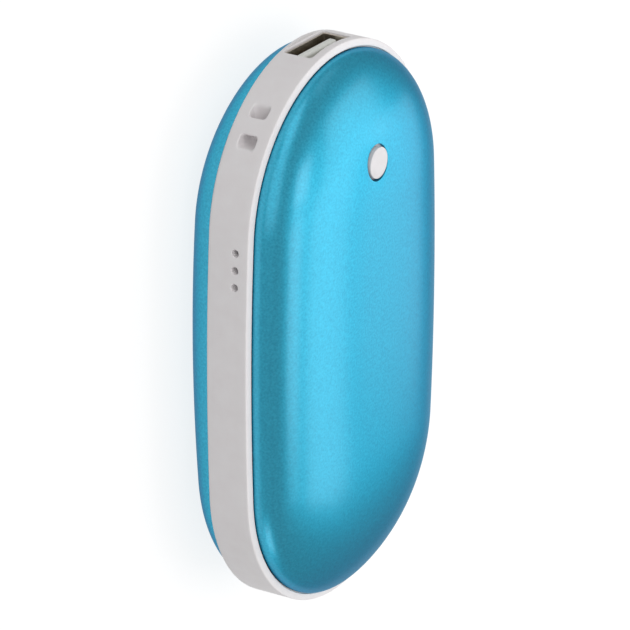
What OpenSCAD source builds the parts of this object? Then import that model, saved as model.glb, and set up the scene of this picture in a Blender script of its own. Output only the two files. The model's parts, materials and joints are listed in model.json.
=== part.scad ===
// Rechargeable hand warmer, lying on its back shell with the power button up
// X runs across, Y runs along towards the USB-A end, Z runs up through the front face
// The origin is on the resting plane, under the middle of the body

/* [Body] */
// Overall length along Y, over the band
body_length = 105; // [100:1:112]
// Overall width along X, over the band
body_width = 60; // [59:0.5:63]
// Distance between the two seams
band_thickness = 9.4; // [9:0.1:9.8]
// Height of the band's flat face
band_flat = 8.2; // [7.8:0.1:8.6]
// How far the band stands out past the shells
band_ledge = 1.5; // [1.2:0.1:2]
// Height of each domed shell above its seam
shell_rise = 8.35; // [8:0.05:9]
// Width of each shell's rounded shoulder
shoulder = 18; // [15:0.5:18.5]
// Thickness of the shell metal
shell_wall = 0.9; // [0.7:0.1:1]

/* [Power button] */
// Distance of the button from the USB-A end of the body
button_from_end = 20.3; // [19.5:0.1:21]
// Radius of the hole in the front shell
button_hole_r = 3.3; // [3.2:0.05:3.6]
// Gap round the button cap
button_gap = 0.25; // [0.2:0.05:0.4]
// How far the crown stands above the shell
button_proud = 0.45; // [0.3:0.05:0.8]
// Travel when pressed
button_travel = 0.3; // [0.2:0.05:0.4]

/* [Sockets] */
// Outer width of the USB-A shell
usb_width = 13.1; // [13:0.05:13.2]
// Outer height of the USB-A shell
usb_height = 5.7; // [5.6:0.05:5.8]
// Length of the USB-A shell
usb_depth = 13.2; // [12.5:0.1:13.4]
// How deep the USB-A mouth sits below the end of the band
usb_recess = 1.5; // [1.3:0.1:2]
// Outer width of the charging socket
charge_width = 7.4; // [7.2:0.1:7.8]
// Outer height of the charging socket
charge_height = 2.6; // [2.5:0.1:2.8]
// Distance of the charging socket from the USB-A end of the body
charge_from_end = 33.9; // [33.5:0.1:34.5]

/* [Lanyard loop] */
// Angle of each slot's centre above the side, about the end's centre
lanyard_angles = [38.2, 49.9];
// Slot width along the band
slot_width = 2.8; // [2.4:0.1:3]
// Slot length across the band
slot_length = 3.5; // [3.2:0.1:4]
// Thickness of the bridge between the slots
bridge_thickness = 1.4; // [1.2:0.1:1.8]

/* [Indicators] */
// Distance of the middle indicator from the USB-A end of the body
indicator_from_end = 33.1; // [32.5:0.1:33.5]
// Spacing of the three indicators
indicator_pitch = 3.15; // [2.8:0.05:3.2]
// Height of the indicators above the band's middle
indicator_rise = 1.95; // [1.8:0.05:2.1]
// Radius of each indicator hole
indicator_r = 0.7; // [0.65:0.05:0.8]

/* [Battery] */
// Thickness of the cell
cell_thickness = 11; // [10:0.1:11]

/* [Hidden] */
$fn = 96;

// How far every cut runs past its face
overrun = 0.5;
// Clearance of pieces that are set in place and stay there
set_gap = 0.1;
// Gap left where two surfaces meet but don't bear
free_gap = 0.3;
// Running clearance of sliding stems
run_gap = 0.06;
// Thickness of one glue film
glue = 0.05;
dome_steps = 20;

// Outline: two straight sides between two half circles, centred at end_y from the middle
half_length = body_length / 2;
band_r = body_width / 2;
end_y = half_length - band_r;
shell_r = band_r - band_ledge;
flat_r = shell_r - shoulder;
band_half = band_thickness / 2;
mid_z = band_half + shell_rise;
inner_half = band_half + shell_rise - shell_wall;
button_y = half_length - button_from_end;
charge_y = half_length - charge_from_end;
indicator_y = half_length - indicator_from_end;

// Band: seam groove, step that carries the shells, and the rib that centres them
seam_gap = 0.2;
seam_depth = 0.45;
bond_thickness = 0.2;
rib_height = 1;
rib_wall = 0.8;
rib_r = shell_r - shell_wall - free_gap - glue;
ring_r = rib_r - rib_wall;
step_half = band_half - seam_depth;
skirt = seam_depth - bond_thickness;
lip_r = shell_r + seam_gap;

// USB-A socket
usb_wall = 0.3;
usb_mouth_y = half_length - usb_recess;
usb_back_y = usb_mouth_y - usb_depth;
usb_edge_r = 0.5;
usb_tongue_side_gap = 0.7;
usb_tongue_width = usb_width - 2 * (usb_wall + usb_tongue_side_gap);
usb_tongue_thickness = 1.84;
usb_tongue_top_gap = 1.63;
usb_tongue_setback = 0.33;
usb_block_depth = 4.1;
usb_contact_pitch = 2.3;
usb_contact_width = 1;
usb_contact_thickness = 0.25;
usb_contact_gap = 0.6;
usb_contact_setback = 1.2;
usb_spring_width = 1.9;
usb_spring_length = 3.6;
usb_spring_x = 3.1;
usb_spring_y_share = 0.45;
usb_spring_slit = 0.35;
usb_tongue_top = usb_height / 2 - usb_wall - usb_tongue_top_gap;
usb_tongue_bottom = usb_tongue_top - usb_tongue_thickness;
usb_contact_length = usb_depth - usb_tongue_setback - usb_contact_setback - usb_block_depth
    - usb_contact_gap;

// Main board
board_thickness = 1.2;
board_inset = 0.5;
board_r = ring_r - board_inset;
board_from_end = 38.9;
board_end_gap = 5.6;
board_start_y = half_length - board_from_end;
board_end_y = usb_mouth_y - board_end_gap;
board_top = -usb_height / 2;
board_bottom = board_top - board_thickness;
post_r = 2;
board_screw_inset = 9.95;
board_screw_gap = 11.4;
board_screw_start = 3.8;
board_screw_x = ring_r - board_screw_inset;
board_screw_y = board_end_y - board_screw_gap;
board_screw_places = [[-board_screw_x, board_screw_y], [board_screw_x, board_screw_y],
    [0, board_start_y + board_screw_start]];
board_screw_length = 3.2;

// Screws that hold the carrier to the band's bosses
boss_inset = 3.25;
boss_end_offset = 0.5;
boss_board_gap = 7.6;
boss_x = ring_r - boss_inset;
boss_ys = [boss_end_offset - end_y, board_start_y - boss_board_gap];
boss_r = 2.1;
boss_top = 0;
boss_web = 3;
screw_r = 0.8;
board_hole_r = screw_r + set_gap;
screw_gap = 0.05;
screw_head_r = 1.5;
screw_head = 0.7;
screw_length = 4.6;
slot_cut_width = 0.35;
slot_cut_depth = 0.3;
sink_gap = 0.05;

// Battery cell, its sealed end and the tape under it
cell_edge_r = 1.6;
seal_length = 3.2;
seal_thickness = 2;
tape_thickness = 0.15;
tape_inset = 3;
cell_half = cell_thickness / 2;
cell_board_gap = 0.9;
cell_end_room = 14;
cell_boss_gap = 0.9;
rail_gap = 0.2;
rail_wall = 1;
cell_end_y = board_start_y - seal_length - cell_board_gap;
cell_length = cell_end_y + half_length - cell_end_room;
cell_mid_y = cell_end_y - cell_length / 2;
cell_width = 2 * (boss_x - boss_r - cell_boss_gap - rail_wall - rail_gap);

// Inner carrier: floor under the cell and the board, rails beside the cell
carrier_floor = 1.4;
carrier_inset = 0.55;
carrier_r = ring_r - carrier_inset;
carrier_top = -cell_half - tape_thickness;
carrier_bottom = carrier_top - carrier_floor;
rail_height = 6;
rail_inset = 6;
end_stop_width = 12;
end_stop_wall = 1.2;

// Charging socket, in the side across from the indicators
charge_wall = 0.3;
charge_mouth_recess = 1.2;
charge_depth = 5.6;
charge_z = board_top + charge_height / 2;
charge_edge_r = 0.45;
charge_rim = 0.4;
charge_tongue_width = 3.7;
charge_tongue_thickness = 0.6;
charge_tongue_setback = 0.7;
charge_block_depth = 1.4;
charge_contact_pitch = 0.65;
charge_contact_width = 0.3;
charge_contact_thickness = 0.12;
charge_contact_length = 2.4;
charge_mouth_x = band_r - charge_mouth_recess;

// Lanyard channel behind the bridge
slot_corner_r = 0.6;
channel_height = 2.1;
channel_wall = 0.8;
channel_top_r = band_r - bridge_thickness;
channel_floor_r = channel_top_r - channel_height;

// Indicator lamps and the clear guide in front of them
guide_recess = 2.1;
guide_gap = 0.08;
guide_bar_thickness = 1;
guide_bar_margin = 0.9;
guide_bar_gap = 0.25;
led_length = 1.6;
led_width = 0.8;
led_height = 0.8;
guide_bar_half = indicator_pitch + guide_bar_margin;
guide_bar_x = ring_r - guide_bar_gap;
led_x = guide_bar_x - guide_bar_thickness - set_gap;

// Tactile switch under the button
switch_size = 6;
switch_corner = 0.4;
switch_body_height = 3.25;
switch_well_r = 2.5;
switch_cover_thickness = 0.3;
switch_spare = 0.15;
plunger_r = 1.7;
plunger_flange_r = 2.3;
plunger_flange = 0.7;
plunger_reach = 5.9;
switch_dome_r = 2.2;
switch_dome_rise = 0.3;
switch_dome_sheet = 0.1;
switch_well_depth = glue + plunger_flange + button_travel + switch_dome_rise + switch_dome_sheet
    + switch_spare;
switch_top = board_top + switch_body_height;
switch_well_z = switch_top - switch_well_depth;
cover_top = switch_top + switch_cover_thickness;
plunger_top = cover_top + plunger_reach;
plunger_flange_top = switch_top - glue;
plunger_flange_z = plunger_flange_top - plunger_flange;

// Power button and its retainer
stem_r = 1.3;
stem_gap = 0.05;
button_cap_r = button_hole_r - button_gap;
flange_width = 1.1;
flange_r = button_cap_r + flange_width;
flange_thickness = 0.8;
flange_room = 0.4;
flange_top = inner_half - flange_room;
flange_bottom = flange_top - flange_thickness;
button_edge = 0.5;
button_steps = 12;
crown_top = band_half + shell_rise + button_proud;
stem_bottom = plunger_top + stem_gap;
retainer_wall = 1.15;
retainer_bore_r = flange_r + set_gap + run_gap;
retainer_r = retainer_bore_r + retainer_wall;
retainer_floor = 1.4;
retainer_spare = 0.7;
retainer_floor_top = flange_bottom - button_travel - retainer_spare;
retainer_bottom = retainer_floor_top - retainer_floor;

// Film heaters against the shells, and the foam that presses them there
heater_thickness = 0.25;
heater_margin = 1;
heater_corner_r = 3;
heater_end_room = 22.5;
heater_button_gap = 8.2;
heater_width = 2 * (flat_r - heater_margin);
heater_start_y = heater_end_room - half_length;
heater_end_y = button_y - heater_button_gap;
heater_face = inner_half - glue - heater_thickness;
foam_overhang = 2.5;
foam_inset = 7;
foam_shift = 3.5;
foam_width = 2 * (flat_r + foam_overhang);
foam_length = cell_length - 2 * foam_inset;
foam_mid_y = cell_mid_y + foam_shift;
foam_corner_r = 3;

// Leads
lead_r = 0.55;
heater_lead_x = 4.6;
heater_lead_inset = 3;
heater_lead_y = heater_end_y - heater_lead_inset;
battery_lead_x = 5;
battery_lead_rise = 1.5;
battery_lead_start = 1.8;
battery_lead_y = board_start_y + battery_lead_start;
lead_hole_r = 1;

// Protection board on the cell's sealed end
guard_margin = 4;
guard_width = cell_width - 2 * guard_margin;
guard_depth = 2.6;
guard_thickness = 0.8;
guard_y = cell_end_y + (seal_length + set_gap) / 2;
guard_chip = [2.6, 1.5, 0.9];
guard_chip_x = 8.5;

// Thermistor on top of the cell
bead_r = 0.9;
bead_inset = 3;
bead_end_gap = 5.5;
bead_place = [bead_inset - cell_width / 2, cell_end_y - bead_end_gap];
sensor_lead_r = 0.2;
sensor_lead_gap = 0.9;
sensor_start = 2.6;
sensor_y = board_start_y + sensor_start;

// Parts soldered to the board, each placed by its X and its distance from the board's inner edge
chip_size = [6.2, 5, 1.5];
chip_place = [-11.5, 12.4];
chip_side_pins = 4;
chip_pin_pitch = 1.2;
chip_pin = [1, 0.42, 0.2];
inductor_size = 7;
inductor_height = 3.8;
inductor_corner_r = 1.6;
inductor_place = [11.5, 12.8];
inductor_cap_r = 2.8;
inductor_cap_height = 0.25;
capacitor_size = [3.2, 1.6, 1.2];
capacitor_places = [[-4.4, 11.2], [4.4, 11.8], [-12.2, 6.4], [11.6, 4.8], [-11.4, 23.9]];
transistor_size = [2.9, 1.4, 1.05];
transistor_places = [[11.4, 22.4], [11.4, 25.9]];

blue = [0.22, 0.67, 0.82];
pale = [0.84, 0.82, 0.82];
steel = [0.72, 0.71, 0.69];
ivory = [0.86, 0.88, 0.84];
gold = [0.85, 0.68, 0.35];
board_green = [0.1, 0.36, 0.22];
charcoal = [0.13, 0.13, 0.14];

// Points of a shell's half section: a quarter ellipse beyond the flat middle
function dome_points(inset, drop) = concat(
    [[0, -drop]],
    drop > 0 ? [[shell_r - inset, -drop]] : [],
    [for (i = [0 : dome_steps])
        [flat_r + (shoulder - inset) * cos(90 * i / dome_steps),
         (shell_rise - inset) * sin(90 * i / dome_steps)]],
    [[0, shell_rise - inset]]);

// A half section carried round the body's outline: round each end, then along each side
module around_body(points) {
    for (turn = [0, 180]) rotate([0, 0, turn]) translate([0, end_y, 0]) {
        rotate_extrude(angle = 180) polygon(points);
        rotate([90, 0, 0]) linear_extrude(2 * end_y) polygon(points);
    }
}

// Half width, at a distance y from the middle, of the oval whose ends have radius r
function oval_x(r, y) = y > end_y ? sqrt(r ^ 2 - (y - end_y) ^ 2) : r;

module oval_plate(r, thickness) {
    around_body([[0, 0], [r, 0], [r, thickness], [0, thickness]]);
}

module round_rect_2d(size, r) {
    square([size[0] - 2 * r, size[1]], center = true);
    square([size[0], size[1] - 2 * r], center = true);
    for (x = [-1, 1], y = [-1, 1])
        translate([x * (size[0] / 2 - r), y * (size[1] / 2 - r)]) circle(r, $fn = 32);
}

module round_box(size, r) {
    linear_extrude(size[2]) round_rect_2d(size, r);
}

// Straight runs of wire through the points, with a ball at each bend
module wire(points, r) {
    for (i = [0 : len(points) - 2]) {
        run = points[i + 1] - points[i];
        translate(points[i])
            rotate([0, acos(run[2] / norm(run)), atan2(run[1], run[0])])
                cylinder(h = norm(run), r = r, $fn = 24);
        if (i > 0) translate(points[i]) sphere(r, $fn = 24);
    }
}

module at_middle(height = 0) { translate([0, 0, mid_z + height]) children(); }

module along_y(y) { translate([0, y, 0]) rotate([90, 0, 0]) children(); }

// Space inside a shell, from its seam up, drawn in by inset from the outer face
module dome_space(inset, drop) { around_body(dome_points(inset, drop)); }

module shell() {
    difference() {
        dome_space(0, skirt);
        dome_space(shell_wall, skirt + overrun);
    }
}

module front_shell() {
    color(blue) difference() {
        at_middle(band_half) shell();
        translate([0, button_y, mid_z + band_half]) cylinder(h = shell_rise + overrun, r = button_hole_r);
    }
}

module back_shell() { color(blue) at_middle(-band_half) mirror([0, 0, 1]) shell(); }

module bond_ring(side) {
    inner = shell_r - shell_wall;
    low = side > 0 ? step_half : -step_half - bond_thickness;
    color(charcoal) at_middle() around_body([
        [inner, low], [shell_r, low],
        [shell_r, low + bond_thickness], [inner, low + bond_thickness]]);
}

module front_bond_ring() { bond_ring(1); }
module back_bond_ring() { bond_ring(-1); }

module band_ring() {
    top = band_half + rib_height;
    flat = band_flat / 2;
    around_body([
        [ring_r, -top], [rib_r, -top], [rib_r, -step_half], [lip_r, -step_half],
        [lip_r, -band_half], [band_r, -flat], [band_r, flat], [lip_r, band_half],
        [lip_r, step_half], [rib_r, step_half], [rib_r, top], [ring_r, top]]);
}

// Angle that a length takes up along the channel's outer wall
function channel_angle(length) = asin(length / channel_top_r);

module channel_sector(inner, outer, height, margin) {
    half = slot_width / 2 + margin;
    first = 180 - lanyard_angles[1] - channel_angle(half);
    last = 180 - lanyard_angles[0] + channel_angle(half);
    translate([0, end_y, 0]) rotate([0, 0, first])
        rotate_extrude(angle = last - first)
            translate([inner, -height / 2]) square([outer - inner, height]);
}

module lanyard_pocket() {
    channel_sector(channel_floor_r - channel_wall, rib_r, slot_length + 2 * channel_wall, channel_wall);
}

module lanyard_cut() {
    channel_sector(channel_floor_r, channel_top_r, slot_length, 0);
    for (angle = lanyard_angles) translate([0, end_y, 0]) rotate([0, 0, 180 - angle])
        translate([channel_floor_r, 0, 0]) rotate([0, 90, 0])
            round_box([slot_length, slot_width, band_r - channel_floor_r + overrun], slot_corner_r);
}

module each_indicator() {
    for (i = [-1 : 1]) translate([0, indicator_y + i * indicator_pitch, indicator_rise]) children();
}

module usb_outline(extra, depth) {
    round_box([usb_width + 2 * extra, usb_height + 2 * extra, depth], usb_edge_r + extra);
}

module charge_outline(extra, depth) {
    round_box([charge_height + 2 * extra, charge_width + 2 * extra, depth], charge_edge_r + extra);
}

module each_boss() {
    for (x = [-boss_x, boss_x], y = boss_ys) translate([x, y, 0]) children();
}

module band_boss() {
    height = boss_top - carrier_top;
    each_boss() translate([0, 0, carrier_top]) cylinder(h = height, r = boss_r, $fn = 48);
    for (x = [-1, 1], y = boss_ys)
        translate([x * (boss_x + rib_r) / 2, y, carrier_top + height / 2])
            cube([rib_r - boss_x, boss_web, height], center = true);
}

module mid_frame() {
    cut_length = band_r - ring_r + 2 * overrun;
    color(pale) at_middle() difference() {
        union() {
            band_ring();
            lanyard_pocket();
            intersection() {
                band_boss();
                translate([0, 0, carrier_top]) oval_plate(rib_r, boss_top - carrier_top);
            }
        }
        lanyard_cut();
        along_y(half_length + overrun) usb_outline(set_gap, cut_length + 2 * overrun);
        translate([band_r - cut_length + overrun, charge_y, charge_z]) rotate([0, 90, 0])
            charge_outline(set_gap, cut_length);
        translate([charge_mouth_x, charge_y, charge_z]) rotate([0, 90, 0])
            charge_outline(charge_rim, charge_mouth_recess + overrun);
        each_indicator() translate([-band_r - overrun, 0, 0]) rotate([0, 90, 0])
            cylinder(h = cut_length, r = indicator_r, $fn = 32);
        each_boss() translate([0, 0, carrier_top - overrun])
            cylinder(h = screw_length, r = screw_r + screw_gap, $fn = 32);
    }
}

// Screw with a slotted head, head down, its head's underside at the origin
module screw(length) {
    cylinder(h = length, r = screw_r, $fn = 32);
    difference() {
        translate([0, 0, -screw_head]) cylinder(h = screw_head, r = screw_head_r, $fn = 48);
        translate([0, 0, -screw_head - overrun + slot_cut_depth])
            linear_extrude(overrun) for (turn = [0, 90]) rotate(turn)
                square([2 * screw_head_r - 4 * slot_cut_width, slot_cut_width], center = true);
    }
}

module carrier_rails() {
    rail_x = cell_width / 2 + rail_gap;
    rail_length = cell_length - 2 * rail_inset;
    for (side = [0, 1]) mirror([side, 0, 0])
        translate([rail_x, cell_mid_y - rail_length / 2, carrier_top - overrun])
            cube([rail_wall, rail_length, rail_height + overrun]);
    translate([-end_stop_width / 2, cell_mid_y - cell_length / 2 - rail_gap - end_stop_wall,
               carrier_top - overrun])
        cube([end_stop_width, end_stop_wall, rail_height + overrun]);
}

module inner_carrier() {
    sink = screw_head + sink_gap;
    color(charcoal) at_middle() difference() {
        union() {
            translate([0, 0, carrier_bottom]) oval_plate(carrier_r, carrier_floor);
            carrier_rails();
            for (place = board_screw_places) translate([place[0], place[1], carrier_bottom])
                cylinder(h = board_bottom - carrier_bottom, r = post_r, $fn = 48);
        }
        each_boss() translate([0, 0, carrier_bottom - overrun]) {
            cylinder(h = carrier_floor + 2 * overrun, r = screw_r + set_gap, $fn = 32);
            cylinder(h = overrun + sink, r = screw_head_r + set_gap, $fn = 48);
        }
        for (place = board_screw_places) translate([place[0], place[1], board_bottom + overrun])
            mirror([0, 0, 1]) cylinder(h = board_screw_length, r = screw_r + screw_gap, $fn = 32);
        for (x = [-heater_lead_x, heater_lead_x]) translate([x, heater_lead_y, carrier_bottom - overrun])
            cylinder(h = carrier_floor + 2 * overrun, r = lead_hole_r, $fn = 32);
    }
}

module carrier_screws() {
    color(steel) at_middle(carrier_bottom + screw_head) each_boss() screw(screw_length);
}

module board_screws() {
    color(steel) at_middle(board_top) for (place = board_screw_places)
        translate([place[0], place[1], 0]) mirror([0, 0, 1]) screw(board_screw_length);
}

module battery_cell() {
    color([0.62, 0.64, 0.66]) at_middle() {
        translate([0, cell_mid_y + cell_length / 2, 0]) rotate([90, 0, 0])
            round_box([cell_width, cell_thickness, cell_length], cell_edge_r);
        translate([-cell_width / 2 + cell_edge_r, cell_end_y - glue, -seal_thickness / 2])
            cube([cell_width - 2 * cell_edge_r, seal_length + glue, seal_thickness]);
    }
}

module cell_tape() {
    color([0.9, 0.86, 0.7]) at_middle(carrier_top) translate([0, cell_mid_y, 0])
        round_box([cell_width - 2 * tape_inset, cell_length - 2 * tape_inset, tape_thickness], cell_edge_r);
}

module protection_board() {
    color(board_green) at_middle(seal_thickness / 2) translate([0, guard_y, 0]) {
        translate([-guard_width / 2, -guard_depth / 2, 0]) cube([guard_width, guard_depth, guard_thickness]);
        for (x = [-guard_chip_x, guard_chip_x])
            translate([x - guard_chip[0] / 2, -guard_chip[1] / 2, guard_thickness]) cube(guard_chip);
    }
}

module foam_pad(low, high) {
    color([0.35, 0.36, 0.38]) at_middle(low) translate([0, foam_mid_y, 0])
        round_box([foam_width, foam_length, high - low], foam_corner_r);
}

module front_foam_pad() { foam_pad(cell_half, heater_face); }
module back_foam_pad() { foam_pad(-heater_face, carrier_bottom); }

module heater(low) {
    length = heater_end_y - heater_start_y;
    color([0.85, 0.5, 0.15]) at_middle(low) translate([0, heater_start_y + length / 2, 0])
        round_box([heater_width, length, heater_thickness], heater_corner_r);
}

module front_heater() { heater(heater_face); }
module back_heater() { heater(-heater_face - heater_thickness); }

module heater_leads() {
    color([0.75, 0.12, 0.1]) at_middle() for (x = [-heater_lead_x, heater_lead_x])
        translate([x, heater_lead_y, 0]) {
            wire([[0, 0, board_top], [0, 0, heater_face]], lead_r);
            wire([[0, 0, -heater_face], [0, 0, board_bottom]], lead_r);
        }
}

module battery_leads() {
    start = seal_thickness / 2 + guard_thickness;
    high = start + battery_lead_rise;
    color([0.75, 0.12, 0.1]) at_middle() for (x = [-battery_lead_x, battery_lead_x])
        wire([[x, guard_y, start], [x, guard_y, high],
              [x, battery_lead_y, high], [x, battery_lead_y, board_top]], lead_r);
}

module main_board() {
    color(board_green) at_middle(board_bottom) difference() {
        intersection() {
            oval_plate(board_r, board_thickness);
            translate([-board_r, board_start_y, 0])
                cube([2 * board_r, board_end_y - board_start_y, board_thickness]);
        }
        for (place = board_screw_places) translate([place[0], place[1], -overrun])
            cylinder(h = board_thickness + 2 * overrun, r = board_hole_r, $fn = 32);
    }
}

module usb_spring_slits() {
    spring_y = usb_mouth_y - usb_depth * usb_spring_y_share;
    for (x = [-usb_spring_x, usb_spring_x]) {
        for (side = [-1, 1])
            translate([x + side * usb_spring_width / 2, spring_y, 0])
                cube([usb_spring_slit, usb_spring_length, usb_height + overrun], center = true);
        translate([x, spring_y + usb_spring_length / 2, 0])
            cube([usb_spring_width, usb_spring_slit, usb_height + overrun], center = true);
    }
}

module usb_a_shell() {
    color(steel) at_middle() difference() {
        along_y(usb_mouth_y) usb_outline(0, usb_depth);
        along_y(usb_mouth_y + overrun) usb_outline(-usb_wall, usb_depth + 2 * overrun);
        usb_spring_slits();
    }
}

// Insulator: a block across the back of the socket and the tongue that carries the contacts
module usb_a_tongue() {
    tip_y = usb_mouth_y - usb_tongue_setback;
    inside = [usb_width - 2 * (usb_wall + glue), usb_height - 2 * (usb_wall + glue)];
    color(ivory) at_middle() {
        translate([0, usb_back_y + usb_block_depth, 0]) rotate([90, 0, 0])
            round_box([inside[0], inside[1], usb_block_depth], usb_edge_r - usb_wall);
        translate([-usb_tongue_width / 2, usb_back_y, usb_tongue_bottom])
            cube([usb_tongue_width, tip_y - usb_back_y, usb_tongue_thickness]);
    }
}

module usb_a_contacts() {
    tip_y = usb_mouth_y - usb_tongue_setback - usb_contact_setback;
    color(gold) at_middle(usb_tongue_bottom - usb_contact_thickness) for (i = [-1.5 : 1.5])
        translate([i * usb_contact_pitch - usb_contact_width / 2, tip_y - usb_contact_length, 0])
            cube([usb_contact_width, usb_contact_length, usb_contact_thickness]);
}

module at_charge_mouth() {
    translate([charge_mouth_x, charge_y, mid_z + charge_z]) rotate([0, -90, 0]) children();
}

module charge_socket_shell() {
    color(steel) at_charge_mouth() difference() {
        charge_outline(0, charge_depth);
        translate([0, 0, -overrun]) charge_outline(-charge_wall, charge_depth + 2 * overrun);
    }
}

module charge_socket_tongue() {
    inside = [charge_height - 2 * (charge_wall + glue), charge_width - 2 * (charge_wall + glue)];
    color(charcoal) at_charge_mouth() {
        translate([0, 0, charge_depth - charge_block_depth])
            round_box([inside[0], inside[1], charge_block_depth], charge_edge_r - charge_wall);
        translate([0, 0, charge_tongue_setback + (charge_depth - charge_tongue_setback) / 2])
            cube([charge_tongue_thickness, charge_tongue_width,
                  charge_depth - charge_tongue_setback], center = true);
    }
}

module charge_socket_contacts() {
    color(gold) at_charge_mouth() for (i = [-2 : 2])
        translate([-charge_tongue_thickness / 2 - charge_contact_thickness,
                   i * charge_contact_pitch - charge_contact_width / 2,
                   2 * charge_tongue_setback])
            cube([charge_contact_thickness, charge_contact_width, charge_contact_length]);
}

module status_leds() {
    color([0.95, 0.93, 0.8]) at_middle(board_top) for (i = [-1 : 1])
        let (y = indicator_y + i * indicator_pitch)
            translate([-oval_x(led_x, y + led_length / 2), y - led_length / 2, 0])
                cube([led_width, led_length, led_height]);
}

module light_guide() {
    bar_low = board_top + set_gap;
    bar_high = indicator_rise + guide_bar_margin;
    pin_x = guide_recess - band_r;
    pin_length = guide_bar_thickness / 2 - guide_bar_x - pin_x;
    color([0.9, 0.92, 0.94]) at_middle() {
        intersection() {
            around_body([[guide_bar_x - guide_bar_thickness, bar_low], [guide_bar_x, bar_low],
                         [guide_bar_x, bar_high], [guide_bar_x - guide_bar_thickness, bar_high]]);
            translate([-band_r, indicator_y - guide_bar_half, bar_low - overrun])
                cube([band_r, 2 * guide_bar_half, bar_high - bar_low + 2 * overrun]);
        }
        each_indicator() translate([pin_x, 0, 0]) rotate([0, 90, 0])
            cylinder(h = pin_length, r = indicator_r - guide_gap, $fn = 32);
    }
}

module at_button(height = 0) { translate([0, button_y, mid_z + height]) children(); }

module switch_base() {
    color(charcoal) at_button(board_top) difference() {
        round_box([switch_size, switch_size, switch_body_height], switch_corner);
        translate([0, 0, switch_body_height - switch_well_depth])
            cylinder(h = switch_well_depth + overrun, r = switch_well_r);
    }
}

// Snap disc: a shallow dish whose half section is a parabola
module switch_dome() {
    steps = 8;
    function dish(r) = switch_dome_rise * (1 - (r / switch_dome_r) ^ 2);
    color(gold) at_button(switch_well_z) rotate_extrude() polygon(concat(
        [for (i = [0 : steps]) let (r = switch_dome_r * i / steps) [r, dish(r)]],
        [for (i = [steps : -1 : 0]) let (r = switch_dome_r * i / steps) [r, dish(r) + switch_dome_sheet]]));
}

module switch_cover() {
    color(steel) at_button(switch_top) difference() {
        round_box([switch_size, switch_size, switch_cover_thickness], switch_corner);
        translate([0, 0, -overrun])
            cylinder(h = switch_cover_thickness + 2 * overrun, r = plunger_r + run_gap);
    }
}

module switch_plunger() {
    color(charcoal) at_button() {
        translate([0, 0, plunger_flange_z]) cylinder(h = plunger_flange, r = plunger_flange_r);
        translate([0, 0, plunger_flange_z]) cylinder(h = plunger_top - plunger_flange_z, r = plunger_r);
    }
}

// Button: a stem, a retaining flange and a cap whose edge is a rounded curve of power three
module power_button() {
    round_share = 2 / 3;
    cap_edge = crown_top - button_edge;
    color(pale) at_button() rotate_extrude() polygon(concat(
        [[0, stem_bottom], [stem_r, stem_bottom], [stem_r, flange_bottom],
         [flange_r, flange_bottom], [flange_r, flange_top], [button_cap_r, flange_top]],
        [for (i = [0 : button_steps - 1]) let (a = 90 * i / button_steps)
            [button_cap_r * cos(a) ^ round_share, cap_edge + button_edge * sin(a) ^ round_share]],
        [[0, crown_top]]));
}

// Cup bonded inside the front shell, which keeps the button's flange in
module button_retainer() {
    color(charcoal) difference() {
        intersection() {
            at_button(retainer_bottom) cylinder(h = shell_rise + band_half, r = retainer_r);
            at_middle(band_half) dome_space(shell_wall + glue, 0);
        }
        at_button(retainer_floor_top) cylinder(h = shell_rise + band_half, r = retainer_bore_r);
        at_button(retainer_bottom - overrun)
            cylinder(h = retainer_floor + 2 * overrun, r = stem_r + run_gap);
    }
}

module on_board(place) {
    at_middle(board_top) translate([place[0], board_start_y + place[1], 0]) children();
}

module control_chip() {
    color(charcoal) on_board(chip_place) {
        translate([-chip_size[0] / 2, -chip_size[1] / 2, chip_pin[2]])
            cube([chip_size[0], chip_size[1], chip_size[2] - chip_pin[2]]);
        for (side = [-1, 1], i = [0 : chip_side_pins - 1])
            translate([(i - (chip_side_pins - 1) / 2) * chip_pin_pitch - chip_pin[1] / 2,
                       side * chip_size[1] / 2 - chip_pin[0] / 2, 0])
                cube([chip_pin[1], chip_pin[0], chip_pin[2] * 2]);
    }
}

module power_inductor() {
    color([0.3, 0.3, 0.31]) on_board(inductor_place) {
        round_box([inductor_size, inductor_size, inductor_height - inductor_cap_height], inductor_corner_r);
        translate([0, 0, inductor_height - inductor_cap_height])
            cylinder(h = inductor_cap_height, r = inductor_cap_r, $fn = 48);
    }
}

module small_blocks(places, size) {
    for (place = places) on_board(place) translate([-size[0] / 2, -size[1] / 2, 0]) cube(size);
}

module capacitors() { color([0.72, 0.6, 0.45]) small_blocks(capacitor_places, capacitor_size); }
module power_transistors() { color(charcoal) small_blocks(transistor_places, transistor_size); }

module thermistor() {
    bead_z = cell_half + bead_r + glue;
    color(charcoal) at_middle() {
        translate([bead_place[0], bead_place[1], bead_z]) sphere(bead_r, $fn = 32);
        for (side = [-1, 1]) let (x = bead_place[0] + side * sensor_lead_gap / 2)
            wire([[x, bead_place[1], bead_z], [x, sensor_y, bead_z], [x, sensor_y, board_top]],
                 sensor_lead_r);
    }
}

front_shell();
back_shell();
mid_frame();
front_bond_ring();
back_bond_ring();
inner_carrier();
carrier_screws();
battery_cell();
cell_tape();
protection_board();
front_foam_pad();
back_foam_pad();
front_heater();
back_heater();
heater_leads();
battery_leads();
main_board();
board_screws();
usb_a_shell();
usb_a_tongue();
usb_a_contacts();
charge_socket_shell();
charge_socket_tongue();
charge_socket_contacts();
status_leds();
light_guide();
switch_base();
switch_dome();
switch_cover();
switch_plunger();
power_button();
button_retainer();
control_chip();
power_inductor();
capacitors();
power_transistors();
thermistor();
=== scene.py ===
import json
import math

import bmesh
import bpy
import numpy as np
from mathutils import Matrix, Vector


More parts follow.
